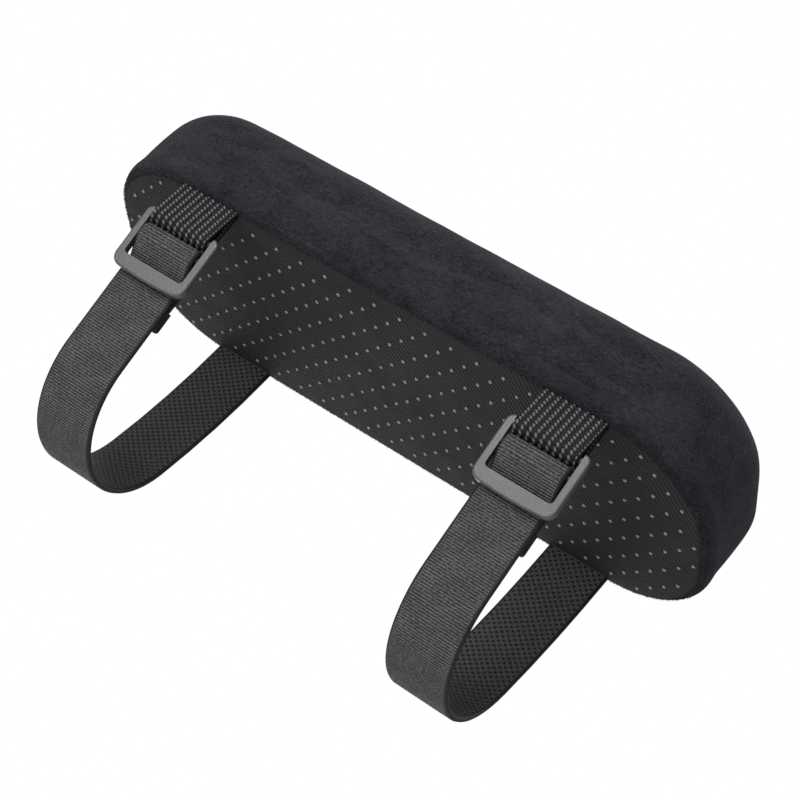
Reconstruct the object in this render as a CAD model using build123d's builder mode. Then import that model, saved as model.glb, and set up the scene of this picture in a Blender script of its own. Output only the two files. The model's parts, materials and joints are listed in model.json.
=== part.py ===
from build123d import *
import math
import os

# Chair armrest pad: a foam block in a sewn cover, held under its far side by two elastic straps, each of which
# closes through a tri-glide buckle on a webbing tab. +X runs along the pad, +Z up, and the tabs are on the -Y side.
# The origin is the centre of the underside panel's lower face.

# Driving dimensions, mm
pad_length = 270.0
pad_width = 104.0
pad_height = 46.0
end_roundness = 0.42       # plan corner radius as a share of the width
top_radius = 17.0          # soft upper edge
bottom_radius = 3.0        # turn of the cover under the wall
cover_thickness = 1.8      # plush
panel_thickness = 1.2      # anti-slip knit
lip_rise = 0.5             # cover's turned-in edge above the panel's lower face
lip_thickness = 2.1
soft_gap = 0.2             # between soft layers that lie against each other

thread_thickness = 0.4

strap_x = 82.0             # strap centres from the pad's middle
webbing_width = 26.5
webbing_thickness = 1.5
elastic_thickness = 1.8
running_gap = 0.3          # strap or webbing to the buckle's bars
loop_depth = 92.5          # lowest point of the strap's centre line under the pad
loop_rise_angle = 78.0     # direction of the strap, from level, where it turns up to the far seam

buckle_width = 34.0
buckle_thickness = 3.2
buckle_tilt = 17.0         # from upright, lower end towards the pad's middle
side_bar = 3.0
bottom_bar = 5.0
top_bar_radius = 1.5
centre_bar_radius = 1.2
centre_bar_drop = 7.2      # centre bar below the top bar
window_bottom = 18.0       # bottom bar's inner edge below the top bar
ear_height = 2.6           # rounded shoulders above the top bar's centre
bow = 1.0                  # outward bow of the bottom bar

zip_height = 13.0          # zip's centre line above the underside
zip_length = 156.0
zip_opening = 7.0          # gap between the cover's two edges at the zip
tooth_pitch = 2.0
tooth_play = 0.1

# Places that follow from them
half_width = pad_width / 2
corner_radius = end_roundness * pad_width
seam_layer = webbing_thickness + 0.05          # each of the two layers of webbing in the seam
seam_y = half_width - cover_thickness - soft_gap - seam_layer   # between the two layers
panel_inset = half_width - seam_y + seam_layer + 0.9            # panel edge to the outer wall, in plan
tab_hinge_z = -0.5                             # line that the tab swings about
bar_y, bar_z = -seam_y + 0.8, -15.5            # top bar's centre
anchor_top = 4.2                               # sewn ends inside the seam
lip_top = lip_rise + lip_thickness
tilt = math.radians(buckle_tilt)
strap_behind = buckle_thickness / 2 + running_gap + elastic_thickness / 2
wrap_radius = centre_bar_radius + running_gap + elastic_thickness / 2
lead_end = 54.0                                # moving part of the strap, measured below the top bar
loop_start = lead_end + 1.3
tail_behind = strap_behind + elastic_thickness + 0.5
tail_start, tail_end = 14.8, 36.0

os.makedirs("parts", exist_ok=True)


def save(piece, name):
    piece.part.label = name
    export_step(piece.part, f"parts/{name}.step")


def at(down, out):
    """A point in the YZ plane, given below the top bar along the buckle and out from its middle plane."""
    return (bar_y + down * math.sin(tilt) - out * math.cos(tilt),
            bar_z - down * math.cos(tilt) - out * math.sin(tilt))


def tangent(point, centre, radius, turn):
    """The direction, in degrees from the circle's centre, where a line from the point touches its +Y or -Y side."""
    away = math.dist(point, centre)
    towards = math.atan2(point[1] - centre[1], point[0] - centre[0])
    return math.degrees(towards - turn * math.acos(radius / away))


def plan(inset):
    """The pad's outline, drawn in from its outer wall."""
    RectangleRounded(pad_length - 2 * inset, pad_width - 2 * inset, corner_radius - inset)


# --- Cover, foam and seam -------------------------------------------------------------------------------------------

with BuildPart() as plush_cover:
    with BuildSketch(Plane.XY.offset(lip_rise)):
        plan(0)
    extrude(amount=pad_height - lip_rise)
    fillet(plush_cover.faces().sort_by(Axis.Z)[-1].edges(), top_radius)
    fillet(plush_cover.faces().sort_by(Axis.Z)[0].edges(), bottom_radius)
    with BuildPart(mode=Mode.PRIVATE) as cavity:
        with BuildSketch(Plane.XY.offset(lip_top)):
            plan(cover_thickness)
        extrude(amount=pad_height - cover_thickness - lip_top)
        fillet(cavity.faces().sort_by(Axis.Z)[-1].edges(), top_radius - cover_thickness)
    add(cavity.part, mode=Mode.SUBTRACT)
    with BuildSketch(Plane.XY):
        plan(panel_inset - 0.3)
    extrude(amount=lip_top, mode=Mode.SUBTRACT)
    # openings in the turned-in edge for the tabs and the straps, and for the zip
    with BuildSketch(Plane.XY):
        with GridLocations(2 * strap_x, 0, 2, 1):
            with Locations((0, -seam_y)):
                Rectangle(webbing_width + 0.4, 2 * seam_layer + 0.3)
            with Locations((0, seam_y)):
                Rectangle(webbing_width + 0.4, elastic_thickness + 0.4)
    extrude(amount=lip_top, mode=Mode.SUBTRACT)
    with BuildSketch(Plane.XZ.offset(-half_width - 1)):
        with Locations((0, zip_height)):
            SlotOverall(zip_length + 12, zip_opening)
    extrude(amount=cover_thickness + 1.5, mode=Mode.SUBTRACT)
save(plush_cover, "plush_cover")

core_inset = cover_thickness + soft_gap
with BuildPart() as foam_core:
    with BuildSketch(Plane.XY.offset(panel_thickness + soft_gap)):
        plan(core_inset)
    extrude(amount=pad_height - core_inset - panel_thickness - soft_gap)
    fillet(foam_core.faces().sort_by(Axis.Z)[-1].edges(), top_radius - core_inset)
    chamfer(foam_core.faces().sort_by(Axis.Z)[0].edges(), 7.0)
    with BuildSketch(Plane.XZ.offset(-half_width)):
        with Locations((0, zip_height)):
            Rectangle(zip_length + 14, 14)
    extrude(amount=core_inset + 1.1, mode=Mode.SUBTRACT)
save(foam_core, "foam_core")

with BuildPart() as underside_panel:
    with BuildSketch():
        plan(panel_inset)
    extrude(amount=panel_thickness)
save(underside_panel, "underside_panel")

with BuildPart() as bottom_seam_thread:
    with BuildSketch(Plane.XY.offset(lip_top + 0.05)):
        plan(panel_inset - 0.65)
        with BuildSketch(mode=Mode.PRIVATE) as inner:
            plan(panel_inset - 0.35)
        add(inner.sketch, mode=Mode.SUBTRACT)
    extrude(amount=0.5)
save(bottom_seam_thread, "bottom_seam_thread")


# --- Straps, tabs and buckles: the same set at the front and at the rear --------------------------------------------

def stitches(count, length, pitch):
    """A row of short thread stitches."""
    with GridLocations(pitch, 0, count, 1):
        SlotOverall(length, 0.6)


for side, name in ((1, "front"), (-1, "rear")):
    middle = side * strap_x
    edge = Plane.YZ.offset(middle - webbing_width / 2)

    # webbing ends held in the near seam
    with BuildPart() as tab_anchor:
        with BuildSketch(Plane.XY.offset(-0.2)):
            with Locations((middle, -seam_y - webbing_thickness / 2 - 0.05),
                           (middle, -seam_y + webbing_thickness / 2 + 0.05)):
                Rectangle(webbing_width, webbing_thickness)
        extrude(amount=anchor_top + 0.2)
    save(tab_anchor, f"{name}_tab_anchor")

    # tab: one length of webbing, folded round the buckle's top bar, its two ends flat together at the seam
    fold = top_bar_radius + running_gap + webbing_thickness / 2
    stack = webbing_thickness / 2 + 0.05
    tab_top = tab_hinge_z - 0.8
    touch = [tangent((-seam_y + turn * stack, tab_top), (bar_y, bar_z), fold, turn) for turn in (-1, 1)]
    with BuildPart() as tab:
        with BuildSketch(edge):
            with BuildLine() as route:
                around = CenterArc((bar_y, bar_z), fold, touch[0], 360 + touch[1] - touch[0])
                Line((-seam_y - stack, tab_top), around @ 0)
                Line(around @ 1, (-seam_y + stack, tab_top))
            trace(line_width=webbing_thickness)
        extrude(amount=webbing_width)
    save(tab, f"{name}_tab")

    # buckle: tri-glide frame, its middle plane leaning with the strap
    frame_plane = Plane(origin=(middle, *at(0, 0)), x_dir=(1, 0, 0),
                        z_dir=(0, -math.cos(tilt), -math.sin(tilt)))
    half = buckle_width / 2
    low = -window_bottom - bottom_bar
    with BuildPart() as buckle:
        with BuildSketch(frame_plane):
            with BuildLine():
                left, right = (-half, low), (half, low)
                Polyline(left, (-half, ear_height), (half, ear_height), right)
                ThreePointArc(right, (0, low - bow), left)
            make_face()
            fillet(vertices().group_by(Axis.Y)[-1], 2.9)
            fillet(vertices().group_by(Axis.Y)[0], 4.5)
        extrude(amount=buckle_thickness / 2, both=True)
        fillet(faces().filter_by(Plane(origin=(0, 0, 0), z_dir=frame_plane.z_dir)).edges(), 0.8)
        with BuildSketch(frame_plane):
            with Locations((0, (ear_height - window_bottom) / 2)):
                Rectangle(buckle_width - 2 * side_bar, window_bottom + ear_height)
            fillet(vertices().group_by(Axis.Y)[0], 1.5)
        extrude(amount=buckle_thickness, both=True, mode=Mode.SUBTRACT)
        for drop, radius in ((0, top_bar_radius), (centre_bar_drop, centre_bar_radius)):
            with BuildSketch(Plane.YZ.offset(middle)):
                with Locations(at(drop, 0)):
                    Circle(radius)
            extrude(amount=half - side_bar / 2, both=True)
    save(buckle, f"{name}_buckle")

    # strap: the part that moves with the buckle, behind the bottom bar and over the centre bar
    with BuildPart() as lead:
        with BuildSketch(edge):
            with BuildLine() as route:
                FilletPolyline(at(lead_end, -strap_behind), at(window_bottom - 0.8, -strap_behind),
                               at(centre_bar_drop + 2.4, wrap_radius),
                               at(centre_bar_drop - wrap_radius, wrap_radius),
                               at(centre_bar_drop - wrap_radius, -wrap_radius),
                               at(centre_bar_drop + 1.3, -wrap_radius),
                               at(tail_start - 1.8, -tail_behind), at(tail_start - 0.6, -tail_behind),
                               radius=wrap_radius - 0.1)
            trace(line_width=elastic_thickness)
        extrude(amount=webbing_width)
    save(lead, f"{name}_strap_lead")

    # strap: loose tail behind it, with its end folded back on itself
    hem = elastic_thickness + 0.05
    with BuildPart() as tail:
        with BuildSketch(edge):
            with BuildLine() as route:
                FilletPolyline(at(tail_start, -tail_behind), at(tail_end, -tail_behind),
                               at(tail_end, -tail_behind - hem), at(tail_end - 8, -tail_behind - hem),
                               radius=hem / 2 - 0.01)
            trace(line_width=elastic_thickness)
        extrude(amount=webbing_width)
    save(tail, f"{name}_strap_tail")

    hem_face = -tail_behind - hem - elastic_thickness / 2
    with BuildPart() as tail_stitching:
        with BuildSketch(Plane(origin=(middle, *at(tail_end - 5, hem_face)), x_dir=(1, 0, 0),
                               z_dir=(0, math.cos(tilt), math.sin(tilt)))):
            stitches(8, 2.0, 2.8)
        extrude(amount=thread_thickness)
    save(tail_stitching, f"{name}_tail_stitching")

    # strap: the loop under the pad, up to the far seam
    start_y, start_z = at(loop_start, -strap_behind)
    heading = math.radians(buckle_tilt - 90)
    rise = math.radians(loop_rise_angle)
    near_radius = (loop_depth + start_z) / (1 - math.cos(heading))
    low_y = start_y - near_radius * math.sin(heading)
    lean = (1 - math.sin(rise)) / math.cos(rise)
    far_radius = ((seam_y - low_y - lean * loop_depth)
                  / (math.sin(rise) - lean * (1 - math.cos(rise))))
    upper_radius = (loop_depth - far_radius * (1 - math.cos(rise))) / math.cos(rise)
    with BuildPart() as loop:
        with BuildSketch(edge):
            with BuildLine() as route:
                near = JernArc((start_y, start_z), (math.cos(heading), math.sin(heading)),
                               near_radius, 90 - buckle_tilt)
                far = JernArc(near @ 1, near % 1, far_radius, loop_rise_angle)
                upper = JernArc(far @ 1, far % 1, upper_radius, 90 - loop_rise_angle)
                Line(upper @ 1, (seam_y, anchor_top))
            trace(line_width=elastic_thickness)
        extrude(amount=webbing_width)
    save(loop, f"{name}_strap_loop")

    # thread rows that hold the webbing and the strap inside the seam
    with BuildPart() as bartacks:
        for face_y, facing in ((-seam_y + webbing_thickness + 0.05, 1), (seam_y - elastic_thickness / 2, -1)):
            with BuildSketch(Plane(origin=(middle, face_y, anchor_top - 0.6), x_dir=(1, 0, 0),
                                   z_dir=(0, facing, 0))):
                stitches(8, 2.0, 2.8)
            extrude(amount=thread_thickness)
    save(bartacks, f"{name}_bartacks")

print(f"strap loop radii {near_radius:.1f} {far_radius:.1f} {upper_radius:.1f}, lowest at y {low_y:.1f}")


# --- Zip in the far wall --------------------------------------------------------------------------------------------

tape_y = half_width - cover_thickness - 0.8    # inner face of the tapes
tape_thickness = 0.5
tape_height = 5.2
teeth_y = tape_y + tape_thickness
teeth_thickness = 1.4
tooth_reach = 1.1
tooth_count = int(zip_length / tooth_pitch)

for sign, name in ((1, "upper"), (-1, "lower")):
    with BuildPart() as tape:
        with BuildSketch(Plane.XZ.offset(-tape_y)):
            with Locations((0, zip_height + sign * (0.3 + tape_height / 2))):
                Rectangle(zip_length + 10, tape_height)
        extrude(amount=-tape_thickness)
    save(tape, f"zip_{name}_tape")

    with BuildPart() as teeth:
        with BuildSketch(Plane.XZ.offset(-teeth_y)):
            with Locations((0, zip_height + sign * 1.2)):
                Rectangle(zip_length, 0.9)
            with Locations((sign * tooth_pitch / 4, zip_height + sign * 0.2)):
                with GridLocations(tooth_pitch, 0, tooth_count - 1, 1):
                    Rectangle(tooth_pitch / 2 - 2 * tooth_play, tooth_reach + 0.1)
        extrude(amount=-teeth_thickness)
    save(teeth, f"zip_{name}_teeth")

with BuildPart() as stops:
    with BuildSketch(Plane.XZ.offset(-teeth_y)):
        for end in (-1, 1):
            with Locations((end * (zip_length / 2 + 1.6), zip_height)):
                Rectangle(2.4, 4.0)
    extrude(amount=-teeth_thickness)
save(stops, "zip_stops")

slider_x = zip_length / 2 - 5.0
slider_length, slider_height = 9.0, 6.0
plate_y = teeth_y + teeth_thickness + 0.2
plate_thickness = 1.2
bridge_rise = 2.3
pin_radius = 0.5
with BuildPart() as slider:
    with BuildSketch(Plane.XZ.offset(-plate_y)):
        with Locations((slider_x, zip_height)):
            RectangleRounded(slider_length, slider_height, 1.5)
    extrude(amount=-plate_thickness)
    with BuildSketch(Plane.XZ.offset(-plate_y)):
        for sign in (-1, 1):
            with Locations((slider_x, zip_height + sign * (slider_height / 2 - 0.4))):
                Rectangle(slider_length - 3.2, 0.8)
    extrude(amount=teeth_thickness)
    with BuildSketch(Plane.XY.offset(zip_height)):
        with Locations((slider_x, plate_y + plate_thickness + bridge_rise / 2)):
            Rectangle(6.4, bridge_rise)
            Rectangle(4.4, bridge_rise, mode=Mode.SUBTRACT)
        with Locations((slider_x, plate_y + plate_thickness + bridge_rise)):
            Rectangle(6.4, 0.8)
    extrude(amount=1.0, both=True)
save(slider, "zip_slider")

pull_y = plate_y + plate_thickness + 0.9
with BuildPart() as pull:
    with BuildSketch(Plane.XZ.offset(-pull_y)):
        with Locations((slider_x - 9.5, zip_height)):
            RectangleRounded(20.0, 5.4, 2.0)
        with Locations((slider_x - 1.9, zip_height)):
            Rectangle(3.8, 3.0, mode=Mode.SUBTRACT)
        with Locations((slider_x - 15.0, zip_height)):
            Circle(1.3, mode=Mode.SUBTRACT)
    extrude(amount=pin_radius, both=True)
save(pull, "zip_pull")
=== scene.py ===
import json
import math
import random

import bmesh
import bpy
from mathutils import Matrix, Vector, geometry, noise
from mathutils.bvhtree import BVHTree


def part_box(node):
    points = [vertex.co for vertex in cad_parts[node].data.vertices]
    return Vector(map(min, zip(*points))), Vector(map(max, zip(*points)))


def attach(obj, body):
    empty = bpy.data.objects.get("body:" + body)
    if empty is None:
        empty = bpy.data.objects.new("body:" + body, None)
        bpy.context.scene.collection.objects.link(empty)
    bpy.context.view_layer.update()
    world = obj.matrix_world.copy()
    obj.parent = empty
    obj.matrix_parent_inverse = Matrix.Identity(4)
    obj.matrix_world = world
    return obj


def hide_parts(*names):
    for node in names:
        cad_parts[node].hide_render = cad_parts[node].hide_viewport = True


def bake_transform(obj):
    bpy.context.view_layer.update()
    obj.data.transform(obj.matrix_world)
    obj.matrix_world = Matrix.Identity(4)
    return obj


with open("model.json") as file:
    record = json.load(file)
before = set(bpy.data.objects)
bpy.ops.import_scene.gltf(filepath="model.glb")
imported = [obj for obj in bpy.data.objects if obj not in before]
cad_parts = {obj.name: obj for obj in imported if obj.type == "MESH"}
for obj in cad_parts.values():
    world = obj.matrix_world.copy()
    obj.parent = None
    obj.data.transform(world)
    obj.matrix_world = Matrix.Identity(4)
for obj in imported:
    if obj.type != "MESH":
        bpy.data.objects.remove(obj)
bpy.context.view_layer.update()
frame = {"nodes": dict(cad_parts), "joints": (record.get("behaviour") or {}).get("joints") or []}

node = frame["nodes"]
joint = {j["name"]: j for j in frame["joints"]}

# ------------------------------------------------------------------------------------------------------------
# Cover. A sleeve of dark short-pile plush goes over the top and the wall of a foam block. Its lower edge is
# turned in and sewn all round to a panel of ribbed anti-slip knit, inside out, so that the seam shows only
# as a soft crease.
# ------------------------------------------------------------------------------------------------------------

pad_low, pad_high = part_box("plush_cover")
zip_low, zip_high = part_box("zip_upper_tape")
mm = 0.001
corner = 0.42 * (pad_high.y - pad_low.y)
wall_x, wall_y = pad_high.x + 1.5 * mm, pad_high.y     # the cover stands a little off the foam's ends
seam_inset, seam_height = 2.9 * mm, 1.0 * mm
zip_middle, zip_half_gap = 13.0 * mm, 3.5 * mm
zip_reach = zip_high.x - 4.0 * mm
far_wall = pad_high.y - 4 * mm                         # only the far wall lies beyond this
cell = 4.0 * mm                                        # size of the cloth's triangles


def outline(inset, count):
    """Evenly spaced points round the pad's plan, drawn in from its outer wall."""
    half_x, half_y, radius = wall_x - inset, wall_y - inset, max(corner - inset, 2 * mm)
    straight_x, straight_y = 2 * (half_x - radius), 2 * (half_y - radius)
    turn = radius * math.pi / 2
    around = 2 * straight_x + 2 * straight_y + 4 * turn
    points = []
    for k in range(count):
        s = around * k / count
        for side, (length, ahead) in enumerate([(straight_y, 1), (straight_x, 1)] * 2):
            if s < length:
                place = (half_x, -straight_y / 2 + s), (straight_x / 2 - s, half_y), \
                    (-half_x, straight_y / 2 - s), (-straight_x / 2 + s, -half_y)
                points.append(place[side])
                break
            s -= length
            if s < turn:
                angle = math.pi / 2 * side + s / radius
                cx = (1, -1, -1, 1)[side] * straight_x / 2
                cy = (1, 1, -1, -1)[side] * straight_y / 2
                points.append((cx + radius * math.cos(angle), cy + radius * math.sin(angle)))
                break
            s -= turn
    return points


def fill_ring(mesh, ring, height, upward):
    """Closes a ring of vertices with a flat patch of even triangles."""
    edge = [Vector((v.co.x, v.co.y)) for v in ring]
    reach = outline_bound(edge)
    edge_room = 0.62 * cell
    inner, row = [], 0
    y = -reach.y
    while y < reach.y:
        x = -reach.x + (row % 2) * cell / 2
        while x < reach.x:
            spot = Vector((x, y))
            if inside(spot, edge, edge_room):
                inner.append(spot)
            x += cell
        y += cell * math.sqrt(3) / 2
        row += 1
    count = len(edge)
    loop = [(k, (k + 1) % count) for k in range(count)]
    spots, _, triangles, *_ = geometry.delaunay_2d_cdt(edge + inner, loop, [], 0, 1e-7)
    made = list(ring) + [mesh.verts.new((p.x, p.y, height)) for p in spots[count:]]
    for triangle in triangles:
        corners = [made[i] for i in triangle]
        mesh.faces.new(corners if upward else corners[::-1])
    return made[count:]


def outline_bound(edge):
    return Vector((max(abs(p.x) for p in edge), max(abs(p.y) for p in edge)))


def inside(spot, edge, margin):
    """Whether a spot lies inside a convex ring of points by at least the margin."""
    for k, a in enumerate(edge):
        b = edge[(k + 1) % len(edge)]
        along = b - a
        if along.x * (spot.y - a.y) - along.y * (spot.x - a.x) < margin * along.length:
            return False
    return True


pressure, swell_steps = 4.0, 20
ripple_height, ripples_per_metre = 0.35 * mm, 75.0


def swell(piece, held, give):
    """Blows the cover out against its seams. The foam inside keeps it from going in, and each point eases up
    to the most that the cloth gives there."""
    group = piece.vertex_groups.new(name="sewn")
    group.add(held, 1.0, "REPLACE")
    start = [(v.co.copy(), v.normal.copy()) for v in piece.data.vertices]
    cloth = piece.modifiers.new("swell", "CLOTH")
    cloth.settings.quality = 6
    cloth.settings.vertex_group_mass = group.name
    cloth.settings.use_pressure = True
    cloth.settings.uniform_pressure_force = pressure
    cloth.settings.effector_weights.gravity = 0.0
    scene = bpy.context.scene
    for step in range(1, swell_steps + 1):
        scene.frame_set(step)
    shape = piece.evaluated_get(bpy.context.evaluated_depsgraph_get()).to_mesh()
    for v, (was, outward), now in zip(piece.data.vertices, start, shape.vertices):
        move = now.co - was
        move -= outward * min(0.0, move.dot(outward))
        if move.length > 0:
            most = give(v.index)
            move *= most * math.tanh(move.length / most) / move.length
            move += outward * ripple_height * noise.noise(was * ripples_per_metre)
        v.co = was + move
    piece.modifiers.remove(cloth)
    piece.vertex_groups.remove(group)
    scene.frame_set(1)


def add_piece(name, mesh_data, material):
    piece = bpy.data.objects.new(name, mesh_data)
    bpy.context.scene.collection.objects.link(piece)
    mesh_data.materials.append(material)
    for face in mesh_data.polygons:
        face.use_smooth = True
    return piece


def new_material(name):
    """An empty material with its shader, and a function that adds a node and sets its sockets."""
    material = bpy.data.materials.new(name)
    material.use_nodes = True
    tree = material.node_tree
    shader = tree.nodes["Principled BSDF"]

    def put(kind, links=(), **values):
        made = tree.nodes.new("ShaderNode" + kind)
        for key, value in values.items():
            if hasattr(made, key):
                setattr(made, key, value)
            else:
                made.inputs[key.replace("_", " ")].default_value = value
        for socket, source in dict(links).items():
            tree.links.new(source, made.inputs[socket])
        return made

    def scaled(source, times, plus):
        made = tree.nodes.new("ShaderNodeMath")
        made.operation = "MULTIPLY_ADD"
        for socket, value in zip(made.inputs, (source, times, plus)):
            if isinstance(value, (int, float)):
                socket.default_value = value
            else:
                tree.links.new(value, socket)
        return made.outputs[0]

    def to_shader(socket, source):
        tree.links.new(source, shader.inputs[socket])

    return material, shader, put, scaled, to_shader


def plush_finish():
    """Blue-black short pile, brushed one way here and another there, with a soft sheen on its tips."""
    material, shader, put, scaled, to_shader = new_material("plush")
    place = put("TexCoord").outputs["Object"]
    lay = put("Mapping", {"Vector": place}, Scale=(55.0, 110.0, 110.0), Rotation=(0.3, 0.5, 0.35))
    brushed = put("TexNoise", {"Vector": lay.outputs[0]}, Scale=1.0, Detail=2.0, Roughness=0.5, Distortion=0.8)
    wisp_lay = put("Mapping", {"Vector": place}, Scale=(330.0, 760.0, 760.0), Rotation=(0.2, 0.4, 0.5))
    wisp = put("TexNoise", {"Vector": wisp_lay.outputs[0]}, Scale=1.0, Detail=2.5, Roughness=0.6,
               Distortion=2.2)
    pile = scaled(brushed.outputs["Fac"], 0.45, wisp.outputs["Fac"])
    ramp = put("ValToRGB", {"Fac": pile})
    ramp.color_ramp.elements[0].position, ramp.color_ramp.elements[0].color = 0.50, (0.0058, 0.0058, 0.0074, 1)
    ramp.color_ramp.elements[1].position, ramp.color_ramp.elements[1].color = 0.92, (0.033, 0.032, 0.040, 1)
    to_shader("Base Color", ramp.outputs["Color"])
    shader.inputs["Roughness"].default_value = 0.95
    shader.inputs["Specular IOR Level"].default_value = 0.15
    shader.inputs["Sheen Weight"].default_value = 0.07
    shader.inputs["Sheen Roughness"].default_value = 0.45
    shader.inputs["Sheen Tint"].default_value = (0.62, 0.62, 0.75, 1)
    bump = put("Bump", {"Height": pile}, Strength=0.8, Distance=0.0011)
    to_shader("Normal", bump.outputs["Normal"])
    return material


def knit_with_painted_rib_shade():
    """Charcoal knit with fine slanting ribs 2 mm apart, deeper in some random patches than in others. The ribs
    are painted into the colour as well as raised by the bump: painted light on their ridges and painted shade
    in their grooves, over a random cloudy tone.
    """
    material, shader, put, scaled, to_shader = new_material("ribbed_knit")
    place = put("TexCoord").outputs["Object"]
    slant = put("Mapping", {"Vector": place}, Rotation=(0, 0, math.radians(34.8)))
    ribs = put("TexWave", {"Vector": slant.outputs[0]}, wave_type="BANDS", bands_direction="X",
               wave_profile="SIN", Scale=161.0, Distortion=0.25, Detail=1.0)
    ribs.inputs["Detail Scale"].default_value = 2.0
    across = put("Mapping", {"Vector": place}, Rotation=(0, 0, math.radians(-55.2)))
    stitch = put("TexWave", {"Vector": across.outputs[0]}, wave_type="BANDS", bands_direction="X",
                 wave_profile="SIN", Scale=330.0, Distortion=0.8, Detail=1.0)
    stitch.inputs["Detail Scale"].default_value = 3.0
    # random patches where the ribs are deeper, both in the bump and in the painted rib light and shade
    rib_depth_patches = put("TexNoise", {"Vector": place}, Scale=22.0, Detail=1.0)
    open_ribs = put("Math", operation="MULTIPLY")
    material.node_tree.links.new(ribs.outputs["Fac"], open_ribs.inputs[0])
    material.node_tree.links.new(scaled(rib_depth_patches.outputs["Fac"], 1.7, -0.52), open_ribs.inputs[1])
    height = scaled(stitch.outputs["Fac"], 0.2, open_ribs.outputs[0])
    cloud = put("TexNoise", {"Vector": place}, Scale=60.0, Detail=4.0)
    tone = scaled(cloud.outputs["Fac"], 0.7, height)
    share = put("MapRange", {"Value": tone})
    share.inputs["From Min"].default_value = 0.2
    share.inputs["From Max"].default_value = 1.7
    # painted light and shade: the ramp makes the rib ridges lighter and the grooves darker
    ramp = put("ValToRGB", {"Fac": share.outputs[0]})
    ramp.color_ramp.elements[0].color = (0.009, 0.009, 0.010, 1)
    ramp.color_ramp.elements[1].color = (0.027, 0.027, 0.0284, 1)
    to_shader("Base Color", ramp.outputs["Color"])
    shader.inputs["Roughness"].default_value = 0.78
    shader.inputs["Specular IOR Level"].default_value = 0.2
    shader.inputs["Sheen Weight"].default_value = 0.04
    bump = put("Bump", {"Height": height}, Strength=0.7, Distance=0.0006)
    to_shader("Normal", bump.outputs["Normal"])
    return material


round_count = 168
tufts_per_cell, tuft_length, tuft_root = 40, 1.1 * mm, 0.12 * mm
tuft_depth = 0.25 * mm                                 # how deep a tuft's root sits in the pile
sleeve_give, panel_give = 2.6 * mm, 1.3 * mm
plush_thickness, knit_thickness = 1.4 * mm, 0.8 * mm
top_radius = 16.0 * mm
wall_rows = [(seam_inset, seam_height), (0.6 * mm, 2.4 * mm), (-0.5 * mm, 5.4 * mm),
             (0.2 * mm, zip_middle - zip_half_gap), (0.1 * mm, zip_middle),
             (0.1 * mm, zip_middle + zip_half_gap), (0.1 * mm, 21.0 * mm), (0.2 * mm, 25.5 * mm)]
wall_top = pad_high.z - 0.8 * mm - top_radius
for step in range(0, 7):
    turn = math.radians(15 * step)
    wall_rows.append((0.3 * mm + top_radius * (1 - math.cos(turn)), wall_top + top_radius * math.sin(turn)))

form = bmesh.new()
rings = []
for inset, height in wall_rows:
    rings.append([form.verts.new((x, y, height)) for x, y in outline(inset, round_count)])
for low_ring, high_ring in zip(rings, rings[1:]):
    for k in range(round_count):
        n = (k + 1) % round_count
        form.faces.new((low_ring[k], low_ring[n], high_ring[n], high_ring[k]))
fill_ring(form, rings[-1], pad_high.z - 0.4 * mm, True)
panel_start = len(form.faces)
fill_ring(form, rings[0], 0.7 * mm, False)
form.verts.index_update()
form.faces.index_update()
seam = [v.index for v in rings[0]]
zip_edge = [v.index for ring in rings[3:6] for v in ring
            if abs(v.co.x) < zip_reach + cell and v.co.y > far_wall]
cover_mesh = bpy.data.meshes.new("cover")
form.to_mesh(cover_mesh)
form.free()
cover = add_piece("plush_sleeve", cover_mesh, plush_finish())
panel_points = {v for face in cover_mesh.polygons[panel_start:] for v in face.vertices}
swell(cover, seam + zip_edge, lambda point: panel_give if point in panel_points else sleeve_give)

# the pile along the seam stands out over the crease, in small pointed tufts
pile_draw = random.Random(4)
pile = bmesh.new()
for face in cover_mesh.polygons[:round_count]:
    inner_a, inner_b, outer_b, outer_a = (cover_mesh.vertices[v].co for v in face.vertices)
    over_seam = ((inner_a - outer_a) + (inner_b - outer_b)).normalized()
    for _ in range(tufts_per_cell):
        along, up_wall = pile_draw.random(), pile_draw.random() ** 1.5
        root = inner_a.lerp(inner_b, along).lerp(outer_a.lerp(outer_b, along), up_wall) \
            - face.normal * tuft_depth
        sway = Vector(pile_draw.uniform(-0.55, 0.55) for _ in range(3))
        lie = (face.normal * 0.6 + over_seam * 0.8 + sway).normalized()
        side_way = lie.orthogonal().normalized() * tuft_root
        tip = pile.verts.new(root + lie * tuft_length * pile_draw.uniform(0.6, 1.0))
        foot = [pile.verts.new(root + Matrix.Rotation(math.radians(120 * k), 3, lie) @ side_way)
                for k in range(3)]
        pile.faces.new(foot[::-1])
        for k in range(3):
            pile.faces.new((foot[k], foot[(k + 1) % 3], tip))
pile_mesh = bpy.data.meshes.new("seam_pile")
pile.to_mesh(pile_mesh)
pile.free()
seam_pile = add_piece("seam_pile", pile_mesh, cover_mesh.materials[0])
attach(seam_pile, "pad")

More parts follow.
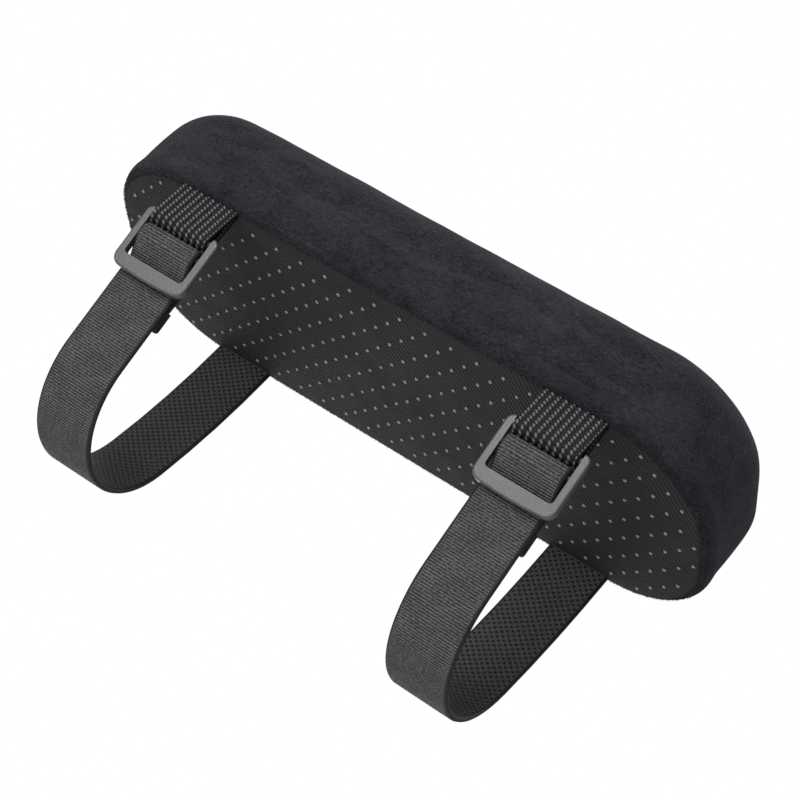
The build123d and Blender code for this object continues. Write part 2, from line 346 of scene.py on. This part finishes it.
# the sewn shape is parted into the sleeve, with its opening for the zip, and the panel
whole = bmesh.new()
whole.from_mesh(cover_mesh)
whole.faces.ensure_lookup_table()
panel_form = whole.copy()
panel_form.faces.ensure_lookup_table()
opening = []
for face in whole.faces[:panel_start]:
    middle = face.calc_center_median()
    if middle.y > far_wall and abs(middle.x) < zip_reach and abs(middle.z - zip_middle) < zip_half_gap:
        opening.append(face)
bmesh.ops.delete(whole, geom=opening + list(whole.faces[panel_start:]), context="FACES")
whole.to_mesh(cover_mesh)
whole.free()
bmesh.ops.delete(panel_form, geom=list(panel_form.faces[:panel_start]), context="FACES")
panel_mesh = bpy.data.meshes.new("panel")
panel_form.to_mesh(panel_mesh)
panel_form.free()
panel = add_piece("ribbed_underside", panel_mesh, knit_with_painted_rib_shade())
for piece, thickness in ((cover, plush_thickness), (panel, knit_thickness)):
    for face in piece.data.polygons:
        face.use_smooth = True
    piece.modifiers.new("smooth", "SUBSURF").render_levels = 2
    piece.modifiers["smooth"].levels = 2
    shell = piece.modifiers.new("cloth thickness", "SOLIDIFY")
    shell.thickness, shell.offset = thickness, -1.0
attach(cover, "pad")
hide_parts("plush_cover")
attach(panel, "pad")
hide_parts("underside_panel")

# ------------------------------------------------------------------------------------------------------------
# Grip dots. Small domes of grey silicone are printed on the knit in staggered rows, so that the pad doesn't
# slide on the armrest.
# ------------------------------------------------------------------------------------------------------------


def silicone_finish():
    material, shader, put, scaled, to_shader = new_material("silicone")
    place = put("TexCoord").outputs["Object"]
    cloud = put("TexNoise", {"Vector": place}, Scale=900.0, Detail=2.0)
    ramp = put("ValToRGB", {"Fac": cloud.outputs["Fac"]})
    ramp.color_ramp.elements[0].color = (0.13, 0.13, 0.135, 1)
    ramp.color_ramp.elements[1].color = (0.32, 0.32, 0.33, 1)
    to_shader("Base Color", ramp.outputs["Color"])
    shader.inputs["Roughness"].default_value = 0.25
    shader.inputs["Specular IOR Level"].default_value = 0.7
    return material


dot_radius, dot_rise = 0.8 * mm, 0.5 * mm
dot_pitch, row_pitch = 11.4 * mm, 6.0 * mm
plain_edge = 2.0 * mm                                  # no dots this near the seam
surface = BVHTree.FromObject(panel, bpy.context.evaluated_depsgraph_get())
dots = bmesh.new()
clear_edge = [Vector(p) for p in outline(seam_inset + plain_edge, 96)]
rows = int(2 * pad_high.y / row_pitch) + 2
columns = int(2 * pad_high.x / dot_pitch) + 2
for row in range(rows):
    for column in range(columns):
        spot = Vector(((column - columns / 2 + (row % 2) / 2) * dot_pitch, (row - rows / 2 + 0.5) * row_pitch))
        if not inside(spot, clear_edge, 0.0):
            continue
        found, normal, *_ = surface.ray_cast(Vector((spot.x, spot.y, -50 * mm)), Vector((0, 0, 1)))
        if found is None:
            continue
        dome = bmesh.ops.create_icosphere(dots, subdivisions=2, radius=1.0)["verts"]
        shape = Matrix.Translation(found) @ Matrix.Diagonal((dot_radius, dot_radius, dot_rise, 1.0))
        bmesh.ops.transform(dots, matrix=shape, verts=dome)
dots_mesh = bpy.data.meshes.new("dots")
dots.to_mesh(dots_mesh)
dots.free()
grip = add_piece("grip_dots", dots_mesh, silicone_finish())
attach(grip, "pad")

# ------------------------------------------------------------------------------------------------------------
# Straps. Each is a length of woven elastic, sewn into the far seam. It hangs under the pad, comes up behind
# the buckle's lower bar, runs over the centre bar and ends in a loose tail whose end is folded back and
# sewn.
# ------------------------------------------------------------------------------------------------------------

elastic_step, elastic_columns = 0.25 * mm, 12
rib_pitch = 1.05 * mm
elastic_thickness, tail_thickness = 2.2 * mm, 1.8 * mm     # the elastic swells between its bars
outer_rib, inner_rib = 0.09 * mm, 0.03 * mm

# places on the strap, in millimetres below the buckle's top bar
loop_end, lower_bar, bar_under, bar_over = 54.6, 17.2, 9.6, 4.8
tail_start, hem_start, tail_end = 14.6, 28.0, 36.0
# and out from the buckle's middle plane: behind the lower bar, over the centre bar, the tail and its folded end
behind, over, back_off, hem = -2.8, 2.4, -5.1, -6.95


def walk(route, step, bend=0.0):
    """Evenly spaced points and their directions along a route whose corners are rounded."""
    curve = [Vector(p) for p in route]
    if bend:
        soft = [curve[0]]
        for before, at, after in zip(curve, curve[1:], curve[2:]):
            back, ahead = (before - at), (after - at)
            half = back.angle(ahead) / 2
            cut = min(bend / math.tan(half), 0.49 * back.length, 0.49 * ahead.length)
            a, b = at + back.normalized() * cut, at + ahead.normalized() * cut
            for k in range(9):
                t = k / 8
                soft.append(a * (1 - t) ** 2 + at * 2 * t * (1 - t) + b * t * t)
        curve = soft + [curve[-1]]
    spans = [(b - a).length for a, b in zip(curve, curve[1:])]
    total = sum(spans)
    count = max(2, round(total / step))
    points, k, done = [], 0, 0.0
    for i in range(count + 1):
        s = total * i / count
        while k < len(spans) - 1 and s > done + spans[k]:
            done += spans[k]
            k += 1
        t = min(1.0, (s - done) / spans[k])
        points.append(curve[k].lerp(curve[k + 1], t))
    return points, total


def arc(centre, radius, start, end):
    """Points round an arc in the YZ plane, three degrees apart."""
    steps = max(2, round(abs(end - start) / math.radians(3)))
    turns = [start + (end - start) * k / steps for k in range(steps + 1)]
    return [Vector((centre[0] + radius * math.cos(t), centre[1] + radius * math.sin(t))) for t in turns]


def band(name, points, total, middle, width, thickness, columns, relief, materials):
    """A flat band that follows points in the YZ plane. relief(along, across, face) raises its two faces."""
    mesh = bmesh.new()
    layer = mesh.loops.layers.uv.new("weave")
    height = mesh.verts.layers.float.new("relief")
    count = len(points)
    edge_turns = 4
    around = []
    for side in (1, -1):
        for c in range(columns + 1):
            u = side * (c / columns - 0.5)
            around.append((u * (width - thickness), side * thickness / 2, side))
        for t in range(1, edge_turns):
            angle = math.pi * t / edge_turns
            around.append((side * (width - thickness) / 2 + side * math.sin(angle) * thickness / 2,
                           side * math.cos(angle) * thickness / 2, 0))
    rings, places = [], []
    for i, p in enumerate(points):
        before, after = points[max(i - 1, 0)], points[min(i + 1, count - 1)]
        ahead = (after - before).normalized()
        out = Vector((ahead.y, -ahead.x))
        along = total * i / (count - 1)
        ring, place = [], []
        for u, lift, face in around:
            proud = relief(along, u, face) if face else 0.0
            spot = p + out * (lift + face * proud)
            ring.append(mesh.verts.new((middle + u, spot.x, spot.y)))
            ring[-1][height] = proud / mm
            place.append((u / mm / 10, along / mm / 10))
        rings.append(ring)
        places.append(place)
    size = len(around)
    for i in range(count - 1):
        for k in range(size):
            n = (k + 1) % size
            face = mesh.faces.new((rings[i][k], rings[i + 1][k], rings[i + 1][n], rings[i][n]))
            kinds = {around[k][2], around[n][2]}
            face.material_index = 0 if kinds == {1} else 1 if kinds == {-1} else 2
            for loop, (a, b) in zip(face.loops, ((i, k), (i + 1, k), (i + 1, n), (i, n))):
                loop[layer].uv = places[a][b]
    for ring, flip in ((rings[0], False), (rings[-1], True)):
        cap = mesh.faces.new(ring[::-1] if flip else ring)
        cap.material_index = 2
    bmesh.ops.recalc_face_normals(mesh, faces=mesh.faces)
    data = bpy.data.meshes.new(name)
    mesh.to_mesh(data)
    mesh.free()
    piece = bpy.data.objects.new(name, data)
    bpy.context.scene.collection.objects.link(piece)
    for material in materials:
        data.materials.append(material)
    for face in data.polygons:
        face.use_smooth = True
    return piece


def elastic_with_painted_light(name, dark, light, weave_share, depth):
    """Woven elastic. weave_share takes the tools and the two directions of the weave and gives its height. The
    colour follows that height as well: painted highlights on the raised yarn and painted shade in the low
    places, besides the bump.
    """
    material, shader, put, scaled, to_shader = new_material(name)
    weave = put("UVMap", uv_map="weave").outputs["UV"]
    ways = put("SeparateXYZ", {"Vector": weave})
    height = weave_share(put, scaled, weave, ways.outputs["X"], ways.outputs["Y"])
    share = put("MapRange", {"Value": height})
    # painted light and shade: the ramp takes the weave's height, dark in the low places and light on the raised
    # yarn
    ramp = put("ValToRGB", {"Fac": share.outputs[0]})
    ramp.color_ramp.elements[0].color = (*dark, 1)
    ramp.color_ramp.elements[1].color = (*light, 1)
    to_shader("Base Color", ramp.outputs["Color"])
    shader.inputs["Roughness"].default_value = 0.6
    shader.inputs["Specular IOR Level"].default_value = 0.4
    bump = put("Bump", {"Height": height}, Strength=0.8, Distance=depth)
    to_shader("Normal", bump.outputs["Normal"])
    return material


def wave(put, scaled, way, per_cm, shift=0.0):
    made = put("Math", operation="SINE")
    made.id_data.links.new(scaled(way, per_cm * 2 * math.pi, shift), made.inputs[0])
    return made.outputs[0]


def ribbed_weave(put, scaled, weave, across, along):
    """Cross ribs, each broken into short picks of uneven length."""
    picks_lay = put("Mapping", {"Vector": weave}, Scale=(8.5, 19.0, 1.0))
    picks = put("TexNoise", {"Vector": picks_lay.outputs[0]}, Scale=1.0, Detail=2.0, Roughness=0.6)
    patch = put("TexNoise", {"Vector": weave}, Scale=1.1, Detail=1.0)
    rib = wave(put, scaled, along, 10.0 * mm / rib_pitch)
    return scaled(picks.outputs["Fac"], 2.1, scaled(rib, 0.33, scaled(patch.outputs["Fac"], 0.5, -1.0)))


def netted_weave(put, scaled, weave, across, along):
    """The back of the elastic: an open net of yarn with small staggered holes, which are painted dark as shade.
    """
    loops = put("Math", operation="MULTIPLY")
    loops.id_data.links.new(wave(put, scaled, across, 3.3), loops.inputs[0])
    loops.id_data.links.new(wave(put, scaled, along, 3.7), loops.inputs[1])
    yarn = put("TexNoise", {"Vector": weave}, Scale=9.0, Detail=2.0)
    # painted shade: the holes are made low, so they take the dark end of the colour ramp
    holes = put("Math", operation="MAXIMUM")
    holes.id_data.links.new(loops.outputs[0], holes.inputs[0])
    holes.inputs[1].default_value = 0.0
    return scaled(yarn.outputs["Fac"], 0.9, scaled(holes.outputs[0], -1.1, 0.30))


def edge_weave(put, scaled, weave, across, along):
    yarn = put("TexNoise", {"Vector": weave}, Scale=12.0, Detail=3.0)
    return scaled(yarn.outputs["Fac"], 1.0, scaled(wave(put, scaled, along, 10.0), 0.2, 0.0))


# each face's colour is painted from its weave height: painted light on raised yarn, painted shade in the low
# places
elastic_outer = elastic_with_painted_light("elastic_outer", (0.012, 0.012, 0.013), (0.150, 0.150, 0.155), ribbed_weave,
                               0.3 * mm)
elastic_inner = elastic_with_painted_light("elastic_inner", (0.006, 0.006, 0.007), (0.072, 0.072, 0.075), netted_weave,
                               0.4 * mm)
# painted shade: the elastic's edge gets a near-black copy of its colour, far darker than its faces
elastic_edge_painted_shade = elastic_with_painted_light("elastic_edge_painted_shade", (0.003, 0.003, 0.0035), (0.011, 0.011, 0.012), edge_weave,
                              0.1 * mm)
elastic_materials = [elastic_outer, elastic_inner, elastic_edge_painted_shade]


def ribs(along, across, face):
    """Cross ribs on the outer face of the elastic; its inner face is flatter. Both thin out to the edges."""
    fade = min(1.0, (half_band - abs(across)) / (1.4 * mm))
    return fade * (outer_rib if face > 0 else inner_rib) * math.sin(2 * math.pi * along / rib_pitch)


for side in ("front", "rear"):
    low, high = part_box(side + "_strap_loop")
    middle = (low.x + high.x) / 2
    band_width = high.x - low.x
    half_band = band_width / 2
    bar = Vector(joint[side + "_buckle_tilt"]["pos_m"][1:])
    down = Vector(joint[side + "_strap_adjust"]["axis"][1:]).normalized()
    out = Vector((down.y, -down.x))

    def spot(drop, proud):
        """A place below the buckle's top bar, and out from the buckle's middle plane, in millimetres."""
        return bar + down * drop * mm + out * proud * mm

    # loop: down from the far seam, round under the pad and up the near side to the moving part
    low_point = low.z + 0.9 * mm
    seam_line = high.y - 0.9 * mm
    turn_in = spot(55.3, behind)
    near_radius = (turn_in.y - low_point) / (1 - down.x)
    bottom = turn_in.x - near_radius * down.y
    lean = math.radians(12)
    ease = (1 - math.cos(lean)) / math.sin(lean)
    far_radius = (seam_line - bottom + ease * low_point) / (math.cos(lean) - ease * (1 - math.sin(lean)))
    upper_radius = (-low_point - far_radius * (1 - math.sin(lean))) / math.sin(lean)
    route = [Vector((seam_line, 1.6 * mm))]
    route += arc((seam_line - upper_radius, 0.0), upper_radius, 0.0, -lean)
    route += arc((bottom, low_point + far_radius), far_radius, -lean, -math.pi / 2)[1:]
    rise = -math.pi + math.asin(down.x)
    route += arc((bottom, low_point + near_radius), near_radius, -math.pi / 2, rise)[1:]
    route.append(spot(loop_end, behind))
    points, total = walk(route, elastic_step)
    loop = band(side + "_elastic_loop", points[::-1], total, middle, band_width, elastic_thickness,
                elastic_columns, ribs, elastic_materials)
    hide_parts(side + "_strap_loop")
    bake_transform(loop)

    # lead: behind the lower bar, over the centre bar and down again
    route = [spot(loop_end, behind), spot(lower_bar, behind), spot(bar_under, over), spot(bar_over, over),
             spot(bar_over, -over), spot(8.5, -over), spot(13.0, back_off), spot(tail_start, back_off)]
    points, total = walk(route, elastic_step, 2.3 * mm)
    lead = band(side + "_elastic_lead", points[::-1], total, middle, band_width, elastic_thickness,
                elastic_columns, ribs, elastic_materials)
    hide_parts(side + "_strap_lead")
    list(spot(54.0, behind))
    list(spot(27.0, behind))
    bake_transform(lead)

    # tail: loose behind the lead, its end folded back
    route = [spot(tail_start, back_off), spot(18.0, -5.6), spot(24.0, -5.6), spot(30.0, back_off),
             spot(tail_end, back_off), spot(tail_end, hem), spot(hem_start, hem)]
    points, total = walk(route, elastic_step, 0.8 * mm)
    tail = band(side + "_elastic_tail", points[::-1], total, middle, band_width, tail_thickness,
                elastic_columns, ribs, elastic_materials)
    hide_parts(side + "_strap_tail")
    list(spot(15.0, back_off))
    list(spot(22.0, back_off))
    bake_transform(tail)

# ------------------------------------------------------------------------------------------------------------
# Tabs. Each is a short piece of heavy woven webbing, folded round the buckle's top bar with both ends sewn
# into the near seam.
# ------------------------------------------------------------------------------------------------------------

webbing_step, webbing_columns = 0.22 * mm, 110
cord_columns = 9.5
pick_pitch = 1.55 * mm
webbing_thickness = 1.4 * mm
fold_radius = 2.55 * mm                                # of the webbing round the top bar
leg_offset = 0.8 * mm                                  # each layer from the hinge line, in the seam
sewn_height, free_height = 0.8 * mm, -0.5 * mm
fold_start, fold_turn, fold_steps = math.radians(176), math.radians(188), 24


def webbing_with_painted_highlights():
    """Heavy polyester webbing. Its colour carries painted highlights on the raised picks and painted shade,
    near black, between them.
    """
    material, shader, put, scaled, to_shader = new_material("webbing")
    place = put("TexCoord").outputs["Object"]
    fibre = put("TexNoise", {"Vector": place}, Scale=1900.0, Detail=3.0, Roughness=0.7)
    proud = put("Attribute", attribute_name="relief")
    share = put("MapRange", {"Value": scaled(fibre.outputs["Fac"], 0.35, proud.outputs["Fac"])})
    share.inputs["From Min"].default_value = 0.0
    share.inputs["From Max"].default_value = 0.52
    # painted light and shade: the ramp runs from near black in the low weave to a light grey painted highlight
    # on the raised picks
    ramp = put("ValToRGB", {"Fac": share.outputs[0]})
    ramp.color_ramp.elements[0].color = (0.004, 0.004, 0.0045, 1)
    ramp.color_ramp.elements[1].color = (0.165, 0.165, 0.17, 1)
    # painted shade: the middle of the ramp is held near black, so the lower picks stay dark too
    painted_shade_middle = ramp.color_ramp.elements.new(0.5)
    painted_shade_middle.color = (0.008, 0.008, 0.0085, 1)
    to_shader("Base Color", ramp.outputs["Color"])
    shader.inputs["Roughness"].default_value = 0.5
    shader.inputs["Specular IOR Level"].default_value = 0.15
    bump = put("Bump", {"Height": fibre.outputs["Fac"]}, Strength=0.3, Distance=0.2 * mm)
    to_shader("Normal", bump.outputs["Normal"])
    return material


webbing_material = webbing_with_painted_highlights()


def woven(along, across, face):
    """Columns of narrow slanting picks between broader floats, with holes where they pass each other."""
    column = (across / band_width + 0.5) * cord_columns
    part = column - math.floor(column)
    row = along / pick_pitch + 0.5 * (math.floor(column) % 2)

    def yarn(middle_part, half_part, row_shift, half_row, slant):
        lengthways = (row + row_shift + slant * (part - middle_part)) % 1.0 - 0.5
        return max(0.0, 1 - ((part - middle_part) / half_part) ** 2 - (lengthways / half_row) ** 2) ** 0.5

    proud = max(0.46 * yarn(0.36, 0.35, 0.0, 0.5, 0.8), 0.24 * yarn(0.86, 0.20, 0.5, 0.44, -0.3))
    fade = min(1.0, (half_band - abs(across)) / (0.5 * mm))
    return fade * (proud - 0.15) * mm


for side in ("front", "rear"):
    low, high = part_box(side + "_tab")
    middle = (low.x + high.x) / 2
    band_width = high.x - low.x
    half_band = band_width / 2
    bar = Vector(joint[side + "_buckle_tilt"]["pos_m"][1:])
    hinge = Vector(joint[side + "_tab_swing"]["pos_m"][1:])
    near, far = hinge.x - leg_offset, hinge.x + leg_offset
    route = [Vector((near, sewn_height)), Vector((near, free_height))]
    for k in range(fold_steps + 1):
        angle = fold_start + fold_turn * k / fold_steps
        route.append(bar + Vector((math.cos(angle), math.sin(angle))) * fold_radius)
    route += [Vector((far, free_height)), Vector((far, sewn_height))]
    points, total = walk(route, webbing_step)
    tab = band(side + "_webbing_tab", points[::-1], total, middle, band_width, webbing_thickness,
               webbing_columns, woven, [webbing_material] * 3)
    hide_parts(side + "_tab", side + "_tab_anchor")
    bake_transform(tab)

# ------------------------------------------------------------------------------------------------------------
# Buckles. Tri-glides moulded in one piece of dark grey acetal, with a fine satin grain from the mould. Each
# hangs by its top bar in the fold of its tab, and its centre bar grips the elastic.
# ------------------------------------------------------------------------------------------------------------


def dress(name, material):
    """Gives a part that keeps its own shape its finish."""
    data = node[name].data
    data.materials.clear()
    data.materials.append(material)


def acetal_finish():
    material, shader, put, scaled, to_shader = new_material("acetal")
    place = put("TexCoord").outputs["Object"]
    grain = put("TexNoise", {"Vector": place}, Scale=2400.0, Detail=4.0, Roughness=0.7)
    flow = put("TexNoise", {"Vector": place}, Scale=180.0, Detail=3.0)
    ramp = put("ValToRGB", {"Fac": scaled(grain.outputs["Fac"], 0.8, scaled(flow.outputs["Fac"], 0.2, 0.0))})
    ramp.color_ramp.elements[0].position, ramp.color_ramp.elements[0].color = 0.30, (0.030, 0.030, 0.031, 1)
    ramp.color_ramp.elements[1].position, ramp.color_ramp.elements[1].color = 0.70, (0.090, 0.090, 0.092, 1)
    to_shader("Base Color", ramp.outputs["Color"])
    shader.inputs["Roughness"].default_value = 0.36
    shader.inputs["Specular IOR Level"].default_value = 0.75
    bump = put("Bump", {"Height": grain.outputs["Fac"]}, Strength=0.25, Distance=0.0002)
    to_shader("Normal", bump.outputs["Normal"])
    return material


acetal = acetal_finish()
for side in ("front", "rear"):
    dress(side + "_buckle", acetal)

# ------------------------------------------------------------------------------------------------------------
# Inside and zip. The foam block, the seam threads, and a nylon zip in the far wall that lets the cover come
# off. The zip's two tapes are sewn to the edges of the opening in the sleeve.
# ------------------------------------------------------------------------------------------------------------


def speckled_finish(name, dark, light, scale, roughness, metallic=0.0):
    material, shader, put, scaled, to_shader = new_material(name)
    place = put("TexCoord").outputs["Object"]
    cloud = put("TexNoise", {"Vector": place}, Scale=scale, Detail=4.0, Roughness=0.65)
    ramp = put("ValToRGB", {"Fac": cloud.outputs["Fac"]})
    ramp.color_ramp.elements[0].position, ramp.color_ramp.elements[0].color = 0.3, (*dark, 1)
    ramp.color_ramp.elements[1].position, ramp.color_ramp.elements[1].color = 0.7, (*light, 1)
    to_shader("Base Color", ramp.outputs["Color"])
    shader.inputs["Roughness"].default_value = roughness
    shader.inputs["Metallic"].default_value = metallic
    bump = put("Bump", {"Height": cloud.outputs["Fac"]}, Strength=0.4, Distance=0.0003)
    to_shader("Normal", bump.outputs["Normal"])
    return material


foam = speckled_finish("memory_foam", (0.55, 0.52, 0.42), (0.78, 0.75, 0.66), 900.0, 0.95)
thread = speckled_finish("thread", (0.008, 0.008, 0.009), (0.05, 0.05, 0.052), 4000.0, 0.7)
tape = speckled_finish("zip_tape", (0.008, 0.008, 0.009), (0.035, 0.035, 0.037), 1800.0, 0.85)
teeth = speckled_finish("zip_teeth", (0.012, 0.012, 0.013), (0.05, 0.05, 0.052), 1200.0, 0.35)
enamel = speckled_finish("zip_enamel", (0.02, 0.02, 0.021), (0.05, 0.05, 0.052), 700.0, 0.3, 0.6)
finishes = {"foam_core": foam, "bottom_seam_thread": thread, "zip_upper_tape": tape, "zip_lower_tape": tape,
            "zip_upper_teeth": teeth, "zip_lower_teeth": teeth, "zip_stops": teeth, "zip_slider": enamel,
            "zip_pull": enamel}
for side in ("front", "rear"):
    finishes[side + "_bartacks"] = thread
    finishes[side + "_tail_stitching"] = thread
for name, material in finishes.items():
    dress(name, material)

# ------------------------------------------------------------------------------------------------------------
# Studio. A white room with a pale floor well below the pad, soft boxes, and the camera low in front of the
# buckle side, looking up at the underside.
# ------------------------------------------------------------------------------------------------------------

scene = bpy.context.scene
aim = Vector((5.3, 4.1, -2.6)) * mm
azimuth, elevation, roll, distance = math.radians(27.1), math.radians(-25.5), math.radians(43.0), 0.8126
back = Vector((math.sin(azimuth) * math.cos(elevation), -math.cos(azimuth) * math.cos(elevation),
               math.sin(elevation)))
camera_data = bpy.data.cameras.new("camera")
camera_data.lens, camera_data.sensor_width = 99.0, 36.0
camera = bpy.data.objects.new("camera", camera_data)
scene.collection.objects.link(camera)
turn = (-back).to_track_quat("-Z", "Y").to_matrix() @ Matrix.Rotation(roll, 3, "Z")
right, up = turn.col[0], turn.col[1]
stand = aim + back * distance - right * 0.9 * mm + up * 0.7 * mm
camera.matrix_world = Matrix.Translation(stand) @ turn.to_4x4()
scene.camera = camera

scene.view_settings.view_transform = "Standard"
white = bpy.data.worlds.new("white_room")
white.use_nodes = True
room = white.node_tree
seen_straight = room.nodes.new("ShaderNodeLightPath")
paper = room.nodes.new("ShaderNodeBackground")
paper.inputs["Color"].default_value = (1, 1, 1, 1)
paper.inputs["Strength"].default_value = 1.0
walls = room.nodes["Background"]
walls.inputs["Color"].default_value = (1, 1, 1, 1)
walls.inputs["Strength"].default_value = 0.27
both = room.nodes.new("ShaderNodeMixShader")
room.links.new(seen_straight.outputs["Is Camera Ray"], both.inputs[0])
room.links.new(walls.outputs[0], both.inputs[1])
room.links.new(paper.outputs[0], both.inputs[2])
room.links.new(both.outputs[0], room.nodes["World Output"].inputs["Surface"])
scene.world = white

# name, place from what the camera aims at (m), width (m), power (W)
soft_boxes = (("key", right * 0.05 + up * 0.85 + back * 0.75, 0.5, 7.0),
              ("front", Vector((-0.41, -0.90, -0.09)), 0.3, 2.2),
              ("rim", right * 0.4 + up * 0.9 - back * 0.3, 0.5, 0.6),
              ("far", Vector((-0.6, 1.1, 0.1)), 0.9, 4.5),
              ("overhead", Vector((0.0, 0.3, 1.5)), 2.5, 24.0))
for name, place, size, power in soft_boxes:
    lamp_data = bpy.data.lights.new(name, "AREA")
    lamp_data.size, lamp_data.energy = size, power
    lamp = bpy.data.objects.new(name, lamp_data)
    scene.collection.objects.link(lamp)
    lamp.location = aim + place
    lamp.rotation_mode = "QUATERNION"
    lamp.rotation_quaternion = (aim - lamp.location).to_track_quat("-Z", "Y")

floor_height, floor_half_size, floor_glow = -1.2, 6.0, 0.28
floor_form = bmesh.new()
bmesh.ops.create_grid(floor_form, x_segments=1, y_segments=1, size=floor_half_size)
floor_mesh = bpy.data.meshes.new("floor")
floor_form.to_mesh(floor_mesh)
floor_form.free()
pale_paint = speckled_finish("floor", (0.86, 0.86, 0.86), (0.90, 0.90, 0.90), 3.0, 0.8)
glow = pale_paint.node_tree.nodes["Principled BSDF"].inputs
glow["Emission Color"].default_value = (1, 1, 1, 1)
glow["Emission Strength"].default_value = floor_glow
floor = add_piece("floor", floor_mesh, pale_paint)
floor.location.z = floor_height
